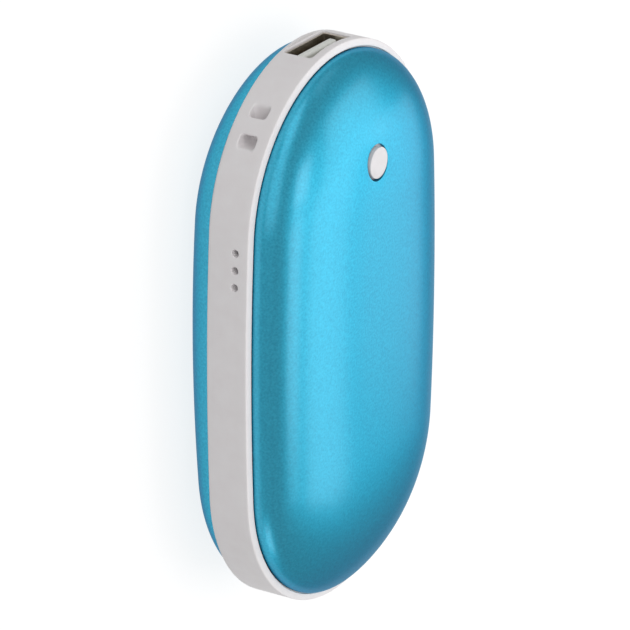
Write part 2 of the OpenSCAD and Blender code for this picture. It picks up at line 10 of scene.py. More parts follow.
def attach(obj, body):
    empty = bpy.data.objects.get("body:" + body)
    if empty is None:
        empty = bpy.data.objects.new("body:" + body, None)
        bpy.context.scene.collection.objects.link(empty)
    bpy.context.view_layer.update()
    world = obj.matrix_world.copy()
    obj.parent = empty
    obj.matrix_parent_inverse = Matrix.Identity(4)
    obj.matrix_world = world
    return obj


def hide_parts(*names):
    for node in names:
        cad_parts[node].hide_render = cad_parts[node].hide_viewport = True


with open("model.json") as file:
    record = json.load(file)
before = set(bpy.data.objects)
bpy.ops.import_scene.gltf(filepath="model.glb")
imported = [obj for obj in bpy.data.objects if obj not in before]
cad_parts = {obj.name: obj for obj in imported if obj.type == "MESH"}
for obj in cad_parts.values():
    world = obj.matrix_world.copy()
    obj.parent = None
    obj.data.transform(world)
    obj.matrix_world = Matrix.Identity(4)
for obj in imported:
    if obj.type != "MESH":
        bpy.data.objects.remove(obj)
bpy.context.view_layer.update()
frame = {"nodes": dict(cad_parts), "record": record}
print("frame loaded")

# Everything below is in millimetres until it is put into a mesh, a lamp or the camera
mm = 0.001
crispAngle = 35.0            # edges that turn by more degrees than this stay sharp

body = {
    "halfLength": 52.5,
    "halfWidth": 30.0,
    "sideRadius": 440.0,     # the long sides bow out very slightly
    "middle": 13.05,         # height of the band's middle above the table
    "shellInset": 1.5,       # the shells start this far inside the band's face
    "frontSeam": 4.9,        # the seams' heights from the band's middle
    "backSeam": 4.4,
    "faceHeight": 13.05,     # the flat of each shell, from the band's middle
    "domeReach": 28.5,
    "edgePower": 2.3,        # above 2 the domes turn faster beside the seam
    "wall": 0.9,
    "skirt": 0.25,
    "sideSteps": 120,
    "endSteps": 200,
}


def solveOutline(b):
    # The end arc reaches the end and touches both side arcs from inside:
    # with s = side radius - half width, r = (R^2 - s^2 - L^2) / (2 (R - L))
    b["sideX"] = b["sideRadius"] - b["halfWidth"]
    top = b["sideRadius"] ** 2 - b["sideX"] ** 2 - b["halfLength"] ** 2
    b["endRadius"] = top / (2 * (b["sideRadius"] - b["halfLength"]))
    b["endY"] = b["halfLength"] - b["endRadius"]
    b["tilt"] = math.atan2(b["endY"], b["sideX"])


solveOutline(body)


def outlineAngles():
    # Outward directions round the outline, close to evenly spaced along it
    side = np.linspace(-body["tilt"], body["tilt"], body["sideSteps"], endpoint=False)
    end = np.linspace(body["tilt"], math.pi - body["tilt"], body["endSteps"], endpoint=False)
    half = np.concatenate([side, end])
    return np.concatenate([half, half + math.pi])


def outlineRing(angles, inset):
    # The outline drawn in by inset: arc centre + (arc radius - inset) * (cos angle, sin angle)
    onSide = np.abs(np.sin(angles)) < math.sin(body["tilt"]) - 1e-9
    radius = np.where(onSide, body["sideRadius"], body["endRadius"]) - inset
    x = np.where(onSide, -np.sign(np.cos(angles)) * body["sideX"], 0) + radius * np.cos(angles)
    y = np.where(onSide, 0, np.sign(np.sin(angles)) * body["endY"]) + radius * np.sin(angles)
    return x, y


def depthInside(x, y):
    # Distance of a point inside the shell's outline: arc radius - distance from the arc's centre
    beside = np.arctan2(np.abs(y), np.abs(x) + body["sideX"]) < body["tilt"]
    side = body["sideRadius"] - np.hypot(np.abs(x) + body["sideX"], y)
    end = body["endRadius"] - np.hypot(x, np.abs(y) - body["endY"])
    return np.where(beside, side, end) - body["shellInset"]


# How each shell swells: its crown is the share by which the dome is lower towards the ends
frontDome = {"seam": body["frontSeam"], "power": 2.5, "crown": 0.45, "crownPower": 7, "crownY": 0}
backDome = {"seam": body["backSeam"], "power": 3.3, "crown": 0.33, "crownPower": 2, "crownY": 10}


def domeHeight(depth, y, wall, dome):
    # (rise - wall) * (1 - (1 - t) ^ power) ^ (1 / edgePower) * (1 - crown * along ^ crownPower), where the
    # share t runs from 0 at the wall's edge to 1 at domeReach, and along is |y - crownY| / halfLength
    share = np.clip((depth - wall) / (body["domeReach"] - wall), 0, 1)
    along = np.abs(y - dome["crownY"]) / body["halfLength"]
    swell = (1 - (1 - share) ** dome["power"]) ** (1 / body["edgePower"])
    crown = 1 - dome["crown"] * along ** dome["crownPower"]
    return (body["faceHeight"] - dome["seam"] - wall) * swell * crown


def stackRows(rows):
    # Rows of (x, y, z), any of them a single number, become one array of rows by columns by 3
    columns = max(np.size(v) for row in rows for v in row)
    return np.array([np.stack([np.broadcast_to(v, (columns,)) for v in row], axis=1) for row in rows])


def finishMesh(mesh):
    # Points that fall together are merged, and faces turn outwards
    bm = bmesh.new()
    bm.from_mesh(mesh)
    bmesh.ops.remove_doubles(bm, verts=bm.verts, dist=1e-7)
    bmesh.ops.recalc_face_normals(bm, faces=bm.faces)
    bm.to_mesh(mesh)
    bm.free()
    mesh.shade_smooth()
    mesh.set_sharp_from_angle(angle=math.radians(crispAngle))


def gridPiece(name, grid, closeRows=False, closeColumns=True):
    # A sheet of points, rows by columns, joined into quads that may close on themselves either way
    rows, columns = grid.shape[:2]
    down = np.arange(rows if closeRows else rows - 1)[:, None]
    across = np.arange(columns if closeColumns else columns - 1)[None, :]
    nextDown, nextAcross = (down + 1) % rows, (across + 1) % columns
    corners = [down * columns + across, down * columns + nextAcross,
               nextDown * columns + nextAcross, nextDown * columns + across]
    faces = np.stack([np.broadcast_to(c, (down.size, across.size)) for c in corners], axis=-1)
    mesh = bpy.data.meshes.new(name)
    mesh.from_pydata((grid.reshape(-1, 3) * mm).tolist(), [], faces.reshape(-1, 4).tolist())
    finishMesh(mesh)
    piece = bpy.data.objects.new(name, mesh)
    bpy.context.scene.collection.objects.link(piece)
    return piece


def roundCorners(corners, radii, steps=5):
    # Each corner of a closed outline becomes an arc of its radius, tangent to both sides
    corners = np.asarray(corners, float)
    befores, afters = np.roll(corners, 1, 0), np.roll(corners, -1, 0)
    path = []
    for corner, before, after, radius in zip(corners, befores, afters, radii):
        if radius == 0:
            path.append(corner[None])
            continue
        inward, outward = before - corner, after - corner
        inward, outward = inward / np.linalg.norm(inward), outward / np.linalg.norm(outward)
        halfAngle = math.acos(np.clip(inward @ outward, -1, 1)) / 2
        bisector = (inward + outward) / np.linalg.norm(inward + outward)
        centre = corner + bisector * radius / math.sin(halfAngle)
        sweep = np.linspace(-1, 1, steps) * (math.pi / 2 - halfAngle)
        side = (outward - inward) / np.linalg.norm(outward - inward)
        path.append(centre - radius * (np.cos(sweep)[:, None] * bisector - np.sin(sweep)[:, None] * side))
    return np.concatenate(path)


def applyCut(piece, cutter, operation="DIFFERENCE"):
    # A boolean that is applied at once, after which the cutter is thrown away
    change = piece.modifiers.new("cut", "BOOLEAN")
    change.operation, change.solver, change.object = operation, "EXACT", cutter
    bpy.context.view_layer.objects.active = piece
    bpy.ops.object.modifier_apply(modifier=change.name)
    bpy.data.meshes.remove(cutter.data)


def dress(piece, bodyName, slotName, nodeName):
    # The piece moves with its body, takes its finish from a slot and stands for a CAD node
    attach(piece, bodyName)
    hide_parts(nodeName)
    piece.data.materials.clear()
    piece.data.materials.append(slotMaterials[slotName])


def linear(hexColour):
    # An sRGB hex colour as linear red, green, blue and alpha
    values = [int(hexColour[i:i + 2], 16) / 255 for i in (1, 3, 5)]
    return [v / 12.92 if v <= 0.04045 else ((v + 0.055) / 1.055) ** 2.4 for v in values] + [1.0]


def addNode(tree, kind, settings, links=None):
    # Settings go to the node's own properties or to its sockets, and links name what feeds a socket
    node = tree.nodes.new(kind)
    for key, value in settings.items():
        if isinstance(key, str) and hasattr(node, key):
            setattr(node, key, value)
        else:
            node.inputs[key].default_value = value
    for key, source in (links or {}).items():
        tree.links.new(source, node.inputs[key])
    return node


# How every finish draws its grain of colour and its relief
pattern = {
    "grainDetail": 2.0,
    "grainRoughness": 0.5,
    "grainFrom": 0.3,        # the levels of the noise that get the low and the high colour
    "grainTo": 0.7,
    "reliefDetail": 3.0,
    "reliefRoughness": 0.6,
    "reliefHeight": 0.03,    # at a bump of 1
}


def finish(name, look):
    # One finish: two close colours mixed by a grain of a real size, and a relief of another size
    material = bpy.data.materials.new(name)
    material.use_nodes = True
    tree = material.node_tree
    shader = tree.nodes["Principled BSDF"]
    for socket, value in look.get("sockets", {}).items():
        shader.inputs[socket].default_value = value
    place = addNode(tree, "ShaderNodeTexCoord", {}).outputs["Object"]
    grain = addNode(tree, "ShaderNodeTexNoise", {
        "Scale": 1 / mm / look["grainMm"], "Detail": pattern["grainDetail"],
        "Roughness": pattern["grainRoughness"]}, {"Vector": place})
    spread = addNode(tree, "ShaderNodeMapRange", {
        "From Min": pattern["grainFrom"], "From Max": pattern["grainTo"]}, {"Value": grain.outputs["Fac"]})
    colours = addNode(tree, "ShaderNodeValToRGB", {}, {"Fac": spread.outputs["Result"]})
    colours.color_ramp.elements[0].color = linear(look["low"])
    colours.color_ramp.elements[1].color = linear(look["high"])
    tree.links.new(colours.outputs["Color"], shader.inputs["Base Color"])
    if "bumpMm" in look:
        relief = addNode(tree, "ShaderNodeTexNoise", {
            "Scale": 1 / mm / look["bumpMm"], "Detail": pattern["reliefDetail"],
            "Roughness": pattern["reliefRoughness"]}, {"Vector": place})
        bump = addNode(tree, "ShaderNodeBump", {
            "Strength": look["bump"], "Distance": pattern["reliefHeight"] * mm},
            {"Height": relief.outputs["Fac"]})
        tree.links.new(bump.outputs["Normal"], shader.inputs["Normal"])
    return material


finishes = {
    # Satin anodised aluminium: dyed oxide over bead-blasted metal, a soft metallic sheen and fine mottling,
    # with the clear sealed oxide as a thin coat that catches the softboxes
    "shell_metal": ("anodisedAluminium", {
        "low": "#1294b4", "high": "#26a9c8", "grainMm": 0.4, "bumpMm": 0.35, "bump": 0.32,
        "sockets": {"Metallic": 1.0, "Roughness": 0.37, "Specular Tint": linear("#3c9cbb"),
                    "Coat Weight": 0.2, "Coat Roughness": 0.2, "Coat IOR": 2.5}}),
    # Moulded ABS with a fine spark-eroded texture: pale, even, with a broad weak gloss
    "band_plastic": ("satinAbs", {
        "low": "#f3eff0", "high": "#f6f3f4", "grainMm": 3.0, "bumpMm": 0.3, "bump": 0.12,
        "sockets": {"Roughness": 0.5, "IOR": 1.53}}),
    # The same ABS from a smoother mould, a little glossier; its colour is painted darker than the band's,
    # painted shade that offsets the stronger lamps on the button
    "button_plastic": ("smoothAbsPaintedShade", {
        "low": "#dbd8d9", "high": "#e0dddf", "grainMm": 2.5, "bumpMm": 0.4, "bump": 0.06,
        "sockets": {"Roughness": 0.32, "IOR": 1.53}}),
    # Adhesive film of the bond rings: nearly black, rubbery, and it gives the seams their dark line
    "bond_adhesive": ("adhesiveFilm", {
        "low": "#0b1316", "high": "#141d20", "grainMm": 0.8, "sockets": {"Roughness": 0.7}}),
    # Glass-filled nylon: black with a faint fibre mottle
    "carrier_plastic": ("filledNylon", {
        "low": "#1d1d1f", "high": "#29292b", "grainMm": 0.6, "bumpMm": 0.4, "bump": 0.2,
        "sockets": {"Roughness": 0.55, "IOR": 1.53}}),
    # Zinc-plated steel screws: bright, slightly uneven
    "screw_steel": ("zincPlatedSteel", {
        "low": "#a9aaa8", "high": "#bdbebc", "grainMm": 0.5, "bumpMm": 0.3, "bump": 0.1,
        "sockets": {"Metallic": 1.0, "Roughness": 0.33}}),
    # Aluminium-laminate pouch of the cell: matt grey with a slight crinkle
    "cell_pouch": ("laminatePouch", {
        "low": "#9b9fa3", "high": "#adb1b4", "grainMm": 4.0, "bumpMm": 2.5, "bump": 0.3,
        "sockets": {"Metallic": 0.8, "Roughness": 0.42}}),
    # Double-sided tissue tape: yellowish, matt
    "tape_film": ("tissueTape", {
        "low": "#d8cfae", "high": "#e2dabd", "grainMm": 1.2, "bumpMm": 0.6, "bump": 0.2,
        "sockets": {"Roughness": 0.6}}),
    # Solder-masked glass epoxy: dark green, half gloss
    "circuit_board": ("solderMask", {
        "low": "#12452c", "high": "#1a5738", "grainMm": 1.5, "bumpMm": 0.8, "bump": 0.1,
        "sockets": {"Roughness": 0.35, "IOR": 1.5}}),
    # Closed-cell foam: dark grey with visible pores
    "pad_foam": ("closedCellFoam", {
        "low": "#3a3b3e", "high": "#55565a", "grainMm": 0.7, "bumpMm": 0.7, "bump": 0.8,
        "sockets": {"Roughness": 0.9}}),
    # Polyimide film heater: amber and smooth
    "heater_film": ("polyimideFilm", {
        "low": "#b86b17", "high": "#cf8224", "grainMm": 2.0, "bumpMm": 1.5, "bump": 0.1,
        "sockets": {"Roughness": 0.3, "IOR": 1.7}}),
    # PVC lead jackets: red with a soft gloss
    "lead_jacket": ("pvcJacket", {
        "low": "#a31b17", "high": "#b9251f", "grainMm": 1.0, "bumpMm": 0.6, "bump": 0.1,
        "sockets": {"Roughness": 0.38, "IOR": 1.53}}),
    # Nickel-plated steel of the sockets: warm grey metal with faint drawing marks
    "socket_metal": ("nickelPlatedSteel", {
        "low": "#a59d93", "high": "#b9b1a7", "grainMm": 0.6, "bumpMm": 0.3, "bump": 0.1,
        "sockets": {"Metallic": 1.0, "Roughness": 0.28}}),
    # LCP insulator of the USB-A socket: pale and slightly green, smooth
    "usb_tongue_plastic": ("paleLcp", {
        "low": "#e6e8e2", "high": "#eff1eb", "grainMm": 0.8, "bumpMm": 0.3, "bump": 0.1,
        "sockets": {"Roughness": 0.45, "IOR": 1.6}}),
    # Gold flash over nickel on the contacts
    "contact_metal": ("goldFlash", {
        "low": "#d9aa4e", "high": "#e6bb63", "grainMm": 0.5, "bumpMm": 0.3, "bump": 0.08,
        "sockets": {"Metallic": 1.0, "Roughness": 0.25}}),
    # Black LCP and epoxy of the small parts
    "black_plastic": ("blackLcp", {
        "low": "#19191b", "high": "#242426", "grainMm": 0.5, "bumpMm": 0.3, "bump": 0.15,
        "sockets": {"Roughness": 0.5, "IOR": 1.6}}),
    # Phosphor-filled lamp resin: cream
    "lamp_resin": ("lampResin", {
        "low": "#e6dfb4", "high": "#f0eac6", "grainMm": 0.4, "bumpMm": 0.3, "bump": 0.1,
        "sockets": {"Roughness": 0.3, "IOR": 1.5}}),
    # Smoked polycarbonate light guide: looks dark while the lamps are off
    "clear_guide": ("smokedPolycarbonate", {
        "low": "#4a4c50", "high": "#5a5c60", "grainMm": 0.6, "bumpMm": 0.4, "bump": 0.05,
        "sockets": {"Roughness": 0.25, "IOR": 1.58}}),
    # Sintered ferrite: dark grey, matt
    "ferrite": ("sinteredFerrite", {
        "low": "#37373a", "high": "#454548", "grainMm": 0.5, "bumpMm": 0.4, "bump": 0.3,
        "sockets": {"Roughness": 0.65}}),
    # Fired ceramic of the capacitors: tan
    "capacitor_ceramic": ("firedCeramic", {
        "low": "#a98d67", "high": "#b99d77", "grainMm": 0.5, "bumpMm": 0.3, "bump": 0.1,
        "sockets": {"Roughness": 0.4}}),
}

slotMaterials = {slotName: finish(*entry) for slotName, entry in finishes.items()}


# Front shell: drawn aluminium with the button's hole
frontShell = {
    "holeY": 32.2,
    "holeRadius": 3.3,
    "holeRounding": 0.09,
    "ruledFrom": 13.0,       # depth at which rings give way to lines towards the hole
    "ringSteps": 36,
    "ruledSteps": 26,
    "roundingSteps": 6,
    "rimRounding": 0.1,
}


def ringRow(angles, depth, wall, dome):
    # One ring of the skin at a depth inside the shell's outline
    x, y = outlineRing(angles, body["shellInset"] + depth)
    return x, y, domeHeight(depth, y, wall, dome)


def ringDepths(first, last, steps):
    # Closely spaced at the steep edge and wider towards the flat: the square of an even run
    return first + (last - first) * np.linspace(0, 1, steps) ** 2


def ruledRow(angles, depth, circle, share, wall):
    # Points at a share of the straight lines, in plan, from the ring at this depth to a circle of this
    # radius about the button's hole
    ringX, ringY = outlineRing(angles, body["shellInset"] + depth)
    awayX, awayY = ringX, ringY - frontShell["holeY"]
    away = np.hypot(awayX, awayY)
    holeX, holeY = awayX / away * circle, frontShell["holeY"] + awayY / away * circle
    x, y = ringX + (holeX - ringX) * share, ringY + (holeY - ringY) * share
    return x, y, domeHeight(depthInside(x, y), y, wall, frontDome)


def buildFrontShell(f):
    # From the rim over the outside to the hole, round its edge, and back on the inside
    angles = outlineAngles()
    wall, rim, rounding = body["wall"], f["rimRounding"], f["holeRounding"]
    rows = [(*outlineRing(angles, body["shellInset"] + rim), -body["skirt"]),
            (*outlineRing(angles, body["shellInset"]), rim - body["skirt"])]
    rows += [ringRow(angles, depth, 0, frontDome)
             for depth in ringDepths(0, f["ruledFrom"], f["ringSteps"])]
    edge = f["holeRadius"] + rounding
    rows += [ruledRow(angles, f["ruledFrom"], edge, share, 0)
             for share in np.linspace(0, 1, f["ruledSteps"])[1:]]
    for turn in np.linspace(0, math.pi / 2, f["roundingSteps"])[1:]:
        x, y, z = ruledRow(angles, f["ruledFrom"], edge - rounding * math.sin(turn), 1, 0)
        rows.append((x, y, z - rounding * (1 - math.cos(turn))))
    rows += [ruledRow(angles, f["ruledFrom"], f["holeRadius"], share, wall)
             for share in np.linspace(1, 0, f["ruledSteps"])]
    rows += [ringRow(angles, depth, wall, frontDome)
             for depth in ringDepths(wall, f["ruledFrom"], f["ringSteps"])[-2::-1]]
    rows.append((*outlineRing(angles, body["shellInset"] + wall), -body["skirt"]))
    grid = stackRows(rows)
    grid[:, :, 2] += body["middle"] + frontDome["seam"]
    return gridPiece("frontShellSkin", grid, closeRows=True)


# Back shell: the same skin turned over, closed in the middle of its flat
backShell = {
    "flatFrom": 26.0,        # depth at which rings give way to one ring that shrinks to the middle
    "flatSteps": 12,
    "outerSteps": 46,
    "innerSteps": 36,
    "rimRounding": 0.1,
}


def buildBackShell(b):
    # From the middle over the outside to the rim, and back on the inside
    angles = outlineAngles()
    wall, rim, flatFrom = body["wall"], b["rimRounding"], b["flatFrom"]
    flatX, flatY = outlineRing(angles, body["shellInset"] + flatFrom)
    shares = np.linspace(0, 1, b["flatSteps"])
    rows = [(flatX * share, flatY * share, domeHeight(flatFrom, flatY * share, 0, backDome))
            for share in shares[:-1]]
    rows += [ringRow(angles, depth, 0, backDome)
             for depth in ringDepths(0, flatFrom, b["outerSteps"])[::-1]]
    rows.append((*outlineRing(angles, body["shellInset"]), rim - body["skirt"]))
    rows.append((*outlineRing(angles, body["shellInset"] + rim), -body["skirt"]))
    rows.append((*outlineRing(angles, body["shellInset"] + wall), -body["skirt"]))
    rows += [ringRow(angles, depth, wall, backDome)
             for depth in ringDepths(wall, flatFrom, b["innerSteps"])]
    rows += [(flatX * share, flatY * share, domeHeight(flatFrom, flatY * share, wall, backDome))
             for share in shares[-2::-1]]
    grid = stackRows(rows)
    grid[:, :, 2] = body["middle"] - backDome["seam"] - grid[:, :, 2]
    return gridPiece("backShellSkin", grid)


dress(buildFrontShell(frontShell), "case", "shell_metal", "front_shell")
dress(buildBackShell(backShell), "case", "shell_metal", "back_shell")
print("shells built")


# Band between the shells, moulded in one piece with the lanyard loop
band = {
    "flatTop": 4.5,          # the flat face's edges, from the band's middle
    "flatBottom": 3.55,
    "flatRows": 10,
    "edgeRounding": 0.25,
    "lipRounding": 0.12,
    "seamGap": 0.2,
    "seamDepth": 0.45,
    "ribInset": 2.75,
    "innerInset": 3.3,
    "ribHeight": 1.0,
    "ribRounding": 0.15,
    "bondThickness": 0.2,
    "bondMargin": 0.05,      # the bond rings stay this far inside the shells' walls
    "crispAngle": 32.0,      # edges of the cut band that turn by more degrees than this stay sharp
}


def carryRound(name, profile):
    # A closed profile of (inset, height) carried round the whole outline
    angles = outlineAngles()
    rows = [(*outlineRing(angles, inset), height + body["middle"]) for inset, height in profile]
    return gridPiece(name, stackRows(rows), closeRows=True)


def bandSide(b, seam, flat):
    # One side of the band's profile, from the inner wall out to the flat face
    lip, step = body["shellInset"] - b["seamGap"], seam - b["seamDepth"]
    corners = [(b["innerInset"], seam + b["ribHeight"]), (b["ribInset"], seam + b["ribHeight"]),
               (b["ribInset"], step), (lip, step), (lip, seam), (0, flat)]
    return corners, [0, b["ribRounding"], 0, 0, b["lipRounding"], b["edgeRounding"]]


def buildBand(b):
    low, lowRadii = bandSide(b, body["backSeam"], b["flatBottom"])
    high, highRadii = bandSide(b, body["frontSeam"], b["flatTop"])
    corners = [(inset, -height) for inset, height in low] + high[::-1]
    profile = roundCorners(corners, lowRadii + highRadii[::-1])
    # The flat face gets rows of its own, so that the openings cut small faces
    face = np.flatnonzero(profile[:, 0] < 1e-9)
    gap = int(face[np.argmax(np.diff(profile[face, 1]))]) + 1
    flat = np.linspace(profile[gap - 1, 1], profile[gap, 1], b["flatRows"])[1:-1]
    profile = np.insert(profile, gap, np.stack([np.zeros_like(flat), flat], axis=1), axis=0)
    return carryRound("bandFrame", profile)


def buildBondRing(name, b, seam, side):
    outer = body["shellInset"] + b["bondMargin"]
    inner = body["shellInset"] + body["wall"] - b["bondMargin"]
    low, high = side * (seam - b["seamDepth"]), side * (seam - b["seamDepth"] + b["bondThickness"])
    return carryRound(name, [(inner, low), (outer, low), (outer, high), (inner, high)])


bandFrame = buildBand(band)
frontBond = buildBondRing("frontBond", band, body["frontSeam"], 1)
backBond = buildBondRing("backBond", band, body["backSeam"], -1)
dress(frontBond, "case", "bond_adhesive", "front_bond_ring")
dress(backBond, "case", "bond_adhesive", "back_bond_ring")
print("band ring built")


# Openings in the band: their mouths are rounded over and follow the curved face
openings = {
    "usbHalf": (6.65, 2.93),     # half the width and half the height
    "usbCorner": 0.6,
    "usbRounding": 0.14,
    "usbDepth": 8.0,         # how far a cutter reaches in from the face
    "chargeHalf": (4.1, 1.7),
    "chargeCorner": 0.85,
    "chargeRounding": 0.12,
    "chargeDepth": 6.0,
    "chargeY": 18.6,
    "chargeZ": -1.55,
    "loopAngle": 43.2,       # middle of the lanyard loop, above the left side about the end's centre
    "loopHeight": 0.4,       # the loop's middle above the band's middle
    "tunnelOuter": (4.1, 3.9),   # half the length along the face, and the depth, of the slots' floor
    "tunnelInner": (1.62, 1.8),  # and of the bridge's underside
    "tunnelHalf": 1.75,      # half the slots' height
    "tunnelCorner": 0.75,
    "tunnelRounding": 0.2,
    "tunnelSteps": 33,
    "farFlare": 0.6,         # radius of the ramp at the far end of each slot
    "lampRadius": 0.7,
    "lampRounding": 0.12,
    "lampDepth": 5.0,
    "lampY": 19.4,
    "lampPitch": 3.15,
    "lampZ": 1.9,
    "pocketWall": 0.65,      # plastic round the tunnel
    "mouthSteps": 6,
    "cutterReach": 1.5,      # how far a cutter stands out of the face
}


def roundedLoop(half, corner, extra, arcSteps=9):
    # A rectangle with round corners, grown by extra, as two rows of (across, up)
    signs = np.array([(1, 1), (-1, 1), (-1, -1), (1, -1)])
    turns = np.linspace(0, math.pi / 2, arcSteps)
    starts = np.array([0, 1, 2, 3]) * math.pi / 2
    angles = starts[:, None] + turns[None, :]
    centres = signs * (np.array(half) - corner)
    across = centres[:, :1] + (corner + extra) * np.cos(angles)
    up = centres[:, 1:] + (corner + extra) * np.sin(angles)
    return across.ravel(), up.ravel()


def mouthCutter(half, corner, rounding, depth, origin, direction, curve):
    # Loops set along the outward direction: straight inside, flaring as a quarter circle at the face.
    # The outer ones follow a face of radius curve, which falls by curve - sqrt(curve^2 - across^2)
    outward = np.array([math.cos(direction), math.sin(direction), 0])
    across = np.array([-math.sin(direction), math.cos(direction), 0])
    turns = np.linspace(0, math.pi / 2, openings["mouthSteps"])
    extras = np.concatenate([[0], rounding * (1 - np.cos(turns)), [rounding]])
    offsets = np.concatenate([[-depth], rounding * (np.sin(turns) - 1), [openings["cutterReach"]]])
    rows = []
    for extra, offset in zip(extras, offsets):
        u, v = roundedLoop(half, corner, extra)
        fall = np.where(offset < -depth / 2, 0, np.sqrt(curve ** 2 - u ** 2) - curve)
        rows.append(origin + u[:, None] * across + (fall + offset)[:, None] * outward
                    + v[:, None] * np.array([0, 0, 1]))
    ends = [np.broadcast_to(rows[i].mean(axis=0), rows[i].shape) for i in (0, -1)]
    return gridPiece("mouthCutter", np.array([ends[0]] + rows + [ends[1]]))


def endPoint(angle):
    # Point of the band's face on the loop's end, by its angle above the left side, and its outward angle
    out = math.pi - math.radians(angle)
    x, y = body["endRadius"] * math.cos(out), body["endY"] + body["endRadius"] * math.sin(out)
    return np.array([x, y, body["middle"]]), out


def sidePoint(y, side, height):
    # Point of the band's face on the right (1) or left (-1) side, and its outward angle
    x = math.sqrt(body["sideRadius"] ** 2 - y ** 2) - body["sideX"]
    out = math.asin(y / body["sideRadius"])
    return np.array([side * x, y, body["middle"] + height]), out if side > 0 else math.pi - out


def curvedBlock(inner, outer, low, high, first, last, steps=40):
    # Part of a ring about the centre of the end's arc, between two angles and two heights
    turns = np.radians(np.linspace(180 - last, 180 - first, steps))
    corners = [(inner, low), (outer, low), (outer, high), (inner, high)]
    rows = [np.stack([radius * np.cos(turns), body["endY"] + radius * np.sin(turns),
                      np.full(steps, body["middle"] + height)], axis=1) for radius, height in corners]
    loops = np.array(rows).transpose(1, 0, 2)
    caps = [np.broadcast_to(loops[i].mean(axis=0), loops[i].shape) for i in (0, -1)]
    return gridPiece("curvedBlock", np.array([caps[0], *loops, caps[1]]))


def tunnelCutter(o):
    # A bent tube under the loop's bridge, between two curves of the same turn t: the bridge's underside is
    # the half ellipse (-a cos t, b sin t), and the floor is the parabola (-a cos t, b sin^2 t). Its section
    # is a rectangle with round corners, and both mouths flare at the face.
    # The far wall leans out: flare radius - sqrt(radius^2 - (radius - depth)^2), a quarter circle
    origin, direction = endPoint(o["loopAngle"])
    origin = origin + np.array([0, 0, o["loopHeight"]])
    outward = np.array([math.cos(direction), math.sin(direction), 0])
    across = np.array([-math.sin(direction), math.cos(direction), 0])
    (outA, outB), (inA, inB) = o["tunnelOuter"], o["tunnelInner"]
    rounding, flare = o["tunnelRounding"], np.linspace(math.pi / 2, 0, o["mouthSteps"])
    extras = np.concatenate([[rounding], rounding * (1 - np.cos(flare))])
    depths = np.concatenate([[-o["cutterReach"]], rounding * (1 - np.sin(flare))])
    mouth, turns = np.ones(len(extras)), np.linspace(0, math.pi, o["tunnelSteps"])
    outerU, outerDepth = -outA * np.cos(turns), outB * np.sin(turns) ** 2
    innerU, innerDepth = -inA * np.cos(turns), inB * np.sin(turns)
    middleU, middleDepth = (outerU + innerU) / 2, rounding + (outerDepth + innerDepth) / 2
    halfWidth = np.hypot(outerU - innerU, outerDepth - innerDepth) / 2
    # Each section: its middle along the face and its depth, half its width, how far it is grown, and which
    # way its width runs
    startU, startHalf = -(outA + inA) / 2, (outA - inA) / 2
    allU = np.concatenate([startU * mouth, middleU, -startU * mouth])
    allDepth = np.concatenate([depths, middleDepth, depths[::-1]])
    allHalf = np.concatenate([startHalf * mouth, halfWidth, startHalf * mouth])
    allExtra = np.concatenate([extras, np.zeros(len(turns)), extras[::-1]])
    sideways = np.concatenate([-mouth, (outerU - innerU) / (2 * halfWidth), mouth])
    inwards = np.concatenate([0 * mouth, (outerDepth - innerDepth) / (2 * halfWidth), 0 * mouth])
    rows = []
    for u0, depth, half, extra, su, sd in zip(allU, allDepth, allHalf, allExtra, sideways, inwards):
        w, v = roundedLoop((half, o["tunnelHalf"]), o["tunnelCorner"], extra)
        u, d = u0 + w * su, depth + w * sd
        above = np.clip(o["farFlare"] - d, 0, o["farFlare"])
        lean = o["farFlare"] - np.sqrt(o["farFlare"] ** 2 - above ** 2)
        u = u + np.sign(u0) * lean * np.clip(w / half, 0, 1)
        fall = np.sqrt(body["endRadius"] ** 2 - u ** 2) - body["endRadius"]
        rows.append(origin + u[:, None] * across + (fall - d)[:, None] * outward
                    + v[:, None] * np.array([0, 0, 1]))
    ends = [np.broadcast_to(rows[i].mean(axis=0), rows[i].shape) for i in (0, -1)]
    return gridPiece("tunnelCutter", np.array([ends[0]] + rows + [ends[1]]))


def cutOpenings(o):
    # A pocket of plastic behind the loop comes first, and the openings are cut after it
    face, longSide = body["endRadius"], body["sideRadius"]
    depth = o["tunnelRounding"] + o["tunnelOuter"][1] + o["pocketWall"]
    reach = math.degrees((o["tunnelOuter"][0] + o["pocketWall"]) / (face - depth / 2))
    halfHeight = o["tunnelHalf"] + o["pocketWall"]
    applyCut(bandFrame, curvedBlock(face - depth, face - band["ribInset"], o["loopHeight"] - halfHeight,
                                    o["loopHeight"] + halfHeight, o["loopAngle"] - reach,
                                    o["loopAngle"] + reach), "UNION")
    applyCut(bandFrame, tunnelCutter(o))
    usbOrigin = np.array([0, body["halfLength"], body["middle"]])
    applyCut(bandFrame, mouthCutter(o["usbHalf"], o["usbCorner"], o["usbRounding"], o["usbDepth"],
                                    usbOrigin, math.pi / 2, face))
    origin, out = sidePoint(o["chargeY"], 1, o["chargeZ"])
    applyCut(bandFrame, mouthCutter(o["chargeHalf"], o["chargeCorner"], o["chargeRounding"],
                                    o["chargeDepth"], origin, out, longSide))
    for step in (-1, 0, 1):
        origin, out = sidePoint(o["lampY"] + step * o["lampPitch"], -1, o["lampZ"])
        lampHalf = (o["lampRadius"], o["lampRadius"])
        applyCut(bandFrame, mouthCutter(lampHalf, o["lampRadius"], o["lampRounding"], o["lampDepth"],
                                        origin, out, longSide))


cutOpenings(openings)
bandFrame.data.set_sharp_from_angle(angle=math.radians(band["crispAngle"]))
dress(bandFrame, "case", "band_plastic", "mid_frame")
print("openings cut")


